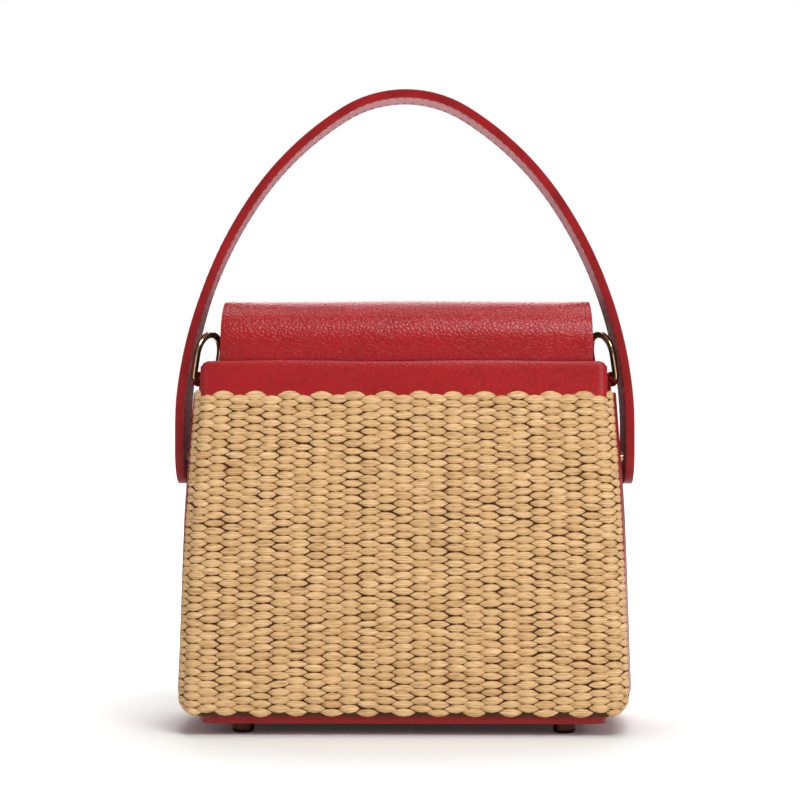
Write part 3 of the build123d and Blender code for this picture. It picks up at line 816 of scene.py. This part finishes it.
def strap_point(across, t, depth=0.0):
    """A point on the strap; across runs from -1 at the rear edge to 1 at the front edge."""
    s = sizes()
    point, normal, half = arch_line(t, depth)
    from_tip = (1 - abs(2 * t - 1)) * half
    wide = s.handle_width / 2
    if from_tip < wide:
        wide = math.sqrt(max(wide ** 2 - (wide - from_tip) ** 2, 0))
    free = min(max((point.z - STRAP_FREE_HEIGHT) / STRAP_FREE_RUN, 0), 1)
    toe = math.copysign(STRAP_TOE, 2 * t - 1)
    yaw = math.radians(STRAP_YAW * free + toe * (1 - free))
    turned = Vector((-across * wide * math.sin(yaw), across * wide * math.cos(yaw), 0))
    crown = -STRAP_CROWN * across ** 2 * free
    return point + turned + normal * crown


def handle_piece():
    """The strap of two layers, and the stitching along both edges of both faces."""
    s = sizes()

    def place(u, v):
        end = STRAP_END_SHARE
        if v < end:
            v = end * (1 - math.cos(v / end * math.pi / 2))
        elif v > 1 - end:
            v = 1 - end * (1 - math.cos((1 - v) / end * math.pi / 2))
        return strap_point(2 * u - 1, v)

    strap = grid_piece("handle_strap", 14, 240, place, ["smooth_leather", "strap_underside", "edge_paint"])
    face_outward(strap, lambda c: Vector((0, 0, 1)) if c.z > STRAP_CROWN_FROM else Vector())
    thicken(strap, s.handle_thickness, inner=1, rim=2, round_edges=0.8)

    rows = []
    inset = 1 - s.stitch_inset / (s.handle_width / 2)
    under = s.handle_thickness - STRAP_THREAD_DEPTH
    for across in (-inset, inset):
        for depth, sign in ((STRAP_THREAD_DEPTH, 1), (under, -1)):
            def line(t, across=across, depth=depth):
                return strap_point(across, STRAP_SEAM_START + STRAP_SEAM_RUN * t, depth)

            points, at = evenly(line, s.stitch)
            normals = [arch_line(STRAP_SEAM_START + STRAP_SEAM_RUN * t)[1] * sign for t in at]
            rows.append(stitch_row("handle_row", points, normals, s.stitch))
    return strap, join("handle_stitches", rows)


# The operators


class HANDBAG_OT_weave(bpy.types.Operator):
    """Weave the rear and the front raffia panel."""
    bl_idname = "handbag.weave"
    bl_label = "Raffia panels"

    def execute(self, context):
        for name, side, node, seed in (("rear_weave", -1, "rear_raffia_panel", 11),
                                       ("front_weave", 1, "front_raffia_panel", 23)):
            panel = woven_panel(name, side, seed)
            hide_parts(node)
            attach(panel, "bag")
        return {"FINISHED"}


class HANDBAG_OT_sides(bpy.types.Operator):
    """Make the two leather sides and the two bands."""
    bl_idname = "handbag.sides"
    bl_label = "Leather sides and bands"

    def execute(self, context):
        for name, make, side, node in (("left_side", gusset_piece, -1, "left_gusset"),
                                       ("right_side", gusset_piece, 1, "right_gusset"),
                                       ("rear_top_band", band_piece, -1, "rear_band"),
                                       ("front_top_band", band_piece, 1, "front_band")):
            piece = make(name, side)
            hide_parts(node)
            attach(piece, "bag")
        return {"FINISHED"}


class HANDBAG_OT_flap(bpy.types.Operator):
    """Make the flap and its stitching."""
    bl_idname = "handbag.flap"
    bl_label = "Flap"

    def execute(self, context):
        leather, stitches = flap_piece()
        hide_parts("flap", "flap_lining")
        for piece in (leather, stitches):
            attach(piece, "flap")
        return {"FINISHED"}


class HANDBAG_OT_handle(bpy.types.Operator):
    """Make the strap handle and its stitching."""
    bl_idname = "handbag.handle"
    bl_label = "Handle"

    def execute(self, context):
        strap, stitches = handle_piece()
        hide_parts("handle", "handle_lining")
        for piece in (strap, stitches):
            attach(piece, "handle")
        return {"FINISHED"}


class HANDBAG_OT_fittings(bpy.types.Operator):
    """Give rings, rivets, feet, closure, base and lining their finishes."""
    bl_idname = "handbag.fittings"
    bl_label = "Fittings and lining"

    def execute(self, context):
        looks = {
            "gold": ("left_ring", "right_ring", "left_rivet", "right_rivet"),
            # the feet take metal darkened as painted shade
            "shade_darkened_metal": ("rear_left_foot", "rear_right_foot", "front_left_foot", "front_right_foot"),
            "satin_metal": ("snap_socket", "snap_cap"),
            "red_leather": ("base_panel", "left_ring_loop", "right_ring_loop"),
            "lining": ("lining",),
            "board": ("base_board",),
        }
        for look, nodes in looks.items():
            for node in nodes:
                data = frame["nodes"][node].data
                data.materials.clear()
                data.materials.append(finish(look))
        return {"FINISHED"}


class HANDBAG_OT_stage(bpy.types.Operator):
    """Set the floor, the lamps, the world and the camera."""
    bl_idname = "handbag.stage"
    bl_label = "Stage"

    def execute(self, context):
        scene = context.scene
        scene.view_settings.view_transform = "Standard"
        self.floor()
        self.world(scene)
        for lamp in LAMPS:
            self.lamp(*lamp)
        self.camera(scene)
        return {"FINISHED"}

    def floor(self):
        """A matt floor that keeps the bag's shadow and fades to white away from it."""
        bpy.ops.object.select_all(action="DESELECT")
        bpy.ops.mesh.primitive_plane_add(size=FLOOR_SIZE)
        floor = bpy.context.object
        floor.name = "floor"
        m = Nodes("floor")
        m.tree.nodes.remove(m.shader)
        matt = m.add("ShaderNodeBsdfDiffuse", {"Color": (0.85, 0.85, 0.84, 1)})
        place = m.add("ShaderNodeTexCoord").outputs["Object"]
        away = m.add("ShaderNodeVectorMath", {0: place}, operation="LENGTH").outputs["Value"]
        far = m.add("ShaderNodeMapRange", {
            "Value": away, "From Min": FLOOR_DARK_WITHIN, "From Max": FLOOR_WHITE_BEYOND,
            "To Min": FLOOR_LEAST_GLOW, "To Max": 1.0}, interpolation_type="SMOOTHSTEP")
        glow = m.add("ShaderNodeEmission", {"Color": (1, 1, 1, 1), "Strength": far.outputs["Result"]})
        both = m.add("ShaderNodeAddShader", {0: matt.outputs[0], 1: glow.outputs[0]})
        seen = self.seen(m.tree)
        mix = m.add("ShaderNodeMixShader", {0: seen, 1: matt.outputs[0], 2: both.outputs[0]})
        m.tree.links.new(mix.outputs[0], m.output.inputs["Surface"])
        floor.data.materials.append(m.material)

    def seen(self, tree):
        """1 for rays that come straight from the camera."""
        return tree.nodes.new("ShaderNodeLightPath").outputs["Is Camera Ray"]

    def world(self, scene):
        """White to the camera, and a weaker white light for everything else."""
        world = bpy.data.worlds.new("studio")
        scene.world = world
        world.use_nodes = True
        tree = world.node_tree
        sky = tree.nodes["Background"]
        sky.inputs["Color"].default_value = (1, 1, 1, 1)
        strength = tree.nodes.new("ShaderNodeMapRange")
        tree.links.new(self.seen(tree), strength.inputs["Value"])
        strength.inputs["To Min"].default_value = SKY_STRENGTH
        strength.inputs["To Max"].default_value = 1.0
        tree.links.new(strength.outputs["Result"], sky.inputs["Strength"])

    def lamp(self, name, place, width, power):
        """A square lamp that looks at the bag."""
        data = bpy.data.lights.new(name, "AREA")
        data.size, data.energy = width, power
        lamp = bpy.data.objects.new(name, data)
        bpy.context.collection.objects.link(lamp)
        lamp.location = place
        lamp.rotation_euler = (Vector(LAMP_AIM) - Vector(place)).to_track_quat("-Z", "Y").to_euler()

    def camera(self, scene):
        """The photograph's view of the rear, from half height and slightly to one side."""
        data = bpy.data.cameras.new("camera")
        data.lens, data.sensor_width = CAMERA_LENS, CAMERA_SENSOR
        camera = bpy.data.objects.new("camera", data)
        bpy.context.collection.objects.link(camera)
        camera.location = CAMERA_PLACE
        aim = Vector(CAMERA_AIM) - camera.location
        camera.rotation_euler = aim.to_track_quat("-Z", "Y").to_euler()
        scene.camera = camera


OPERATORS = (HANDBAG_OT_weave, HANDBAG_OT_sides, HANDBAG_OT_flap, HANDBAG_OT_handle,
             HANDBAG_OT_fittings, HANDBAG_OT_stage)


class HANDBAG_PT_parts(bpy.types.Panel):
    """The handbag's pieces."""
    bl_idname = "HANDBAG_PT_parts"
    bl_label = "Handbag"
    bl_space_type = "VIEW_3D"
    bl_region_type = "UI"
    bl_category = "Handbag"

    def draw(self, context):
        for operator in OPERATORS:
            self.layout.operator(operator.bl_idname)


CLASSES = (HandbagSizes, HandbagFinishes, *OPERATORS, HANDBAG_PT_parts)


def register():
    for cls in CLASSES:
        bpy.utils.register_class(cls)
    bpy.types.Scene.handbag_sizes = PointerProperty(type=HandbagSizes)
    bpy.types.Scene.handbag_finishes = PointerProperty(type=HandbagFinishes)


def unregister():
    del bpy.types.Scene.handbag_finishes
    del bpy.types.Scene.handbag_sizes
    for cls in reversed(CLASSES):
        bpy.utils.unregister_class(cls)


def main():
    register()
    bpy.ops.handbag.weave()
    bpy.ops.handbag.sides()
    bpy.ops.handbag.flap()
    bpy.ops.handbag.handle()
    bpy.ops.handbag.fittings()
    bpy.ops.handbag.stage()


if __name__ == "__main__":
    main()
